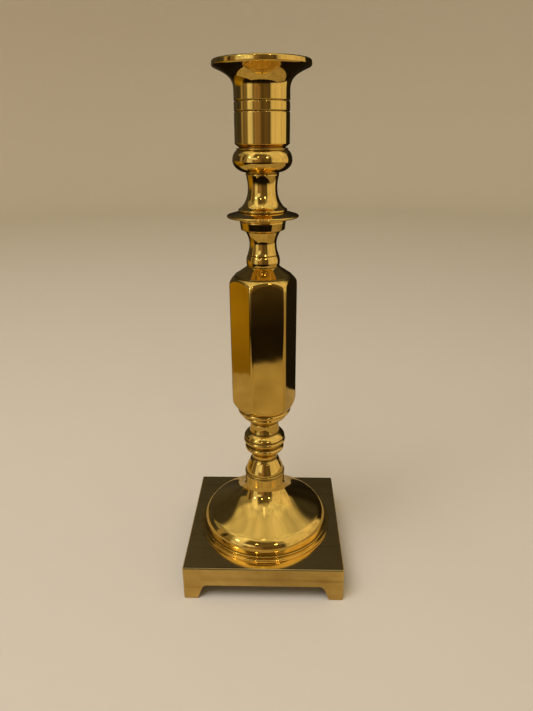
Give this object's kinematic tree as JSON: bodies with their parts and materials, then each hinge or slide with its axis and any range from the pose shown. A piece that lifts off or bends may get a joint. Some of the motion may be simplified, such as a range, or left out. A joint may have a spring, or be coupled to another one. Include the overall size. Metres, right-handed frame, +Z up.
{
  "type": "brass candlestick",
  "caption": "Tall brass candlestick with a six-sided column between turned knops, a bell foot on a square footed base and a socket for a taper candle.",
  "frame": {"origin": "on the table under the middle of the square base", "axes": "+Z up along the column to the candle socket; X and Y square to the base's sides, with -Y towards the side shown as the front"},
  "size_m": [0.088, 0.088, 0.27],
  "materials": {
    "polished_brass": "mirror-polished and lacquered, warm yellow",
    "satin_brass": "buffed to a satin with faint straight marks, lightly toned",
    "zinc_plated_steel": "bright zinc plate"
  },
  "bodies": {
    "root": {"base_plate": "satin_brass", "bell_foot": "polished_brass", "vase_collar": "polished_brass", "ball_knop": "polished_brass", "hex_column": "polished_brass", "column_neck": "polished_brass", "drip_disc": "polished_brass", "upper_neck": "polished_brass", "bulb_knop": "polished_brass", "candle_socket": "polished_brass", "tie_rod": "zinc_plated_steel", "base_washer": "zinc_plated_steel", "spring_washer": "zinc_plated_steel", "hex_nut": "zinc_plated_steel"}
  },
  "joints": []
}
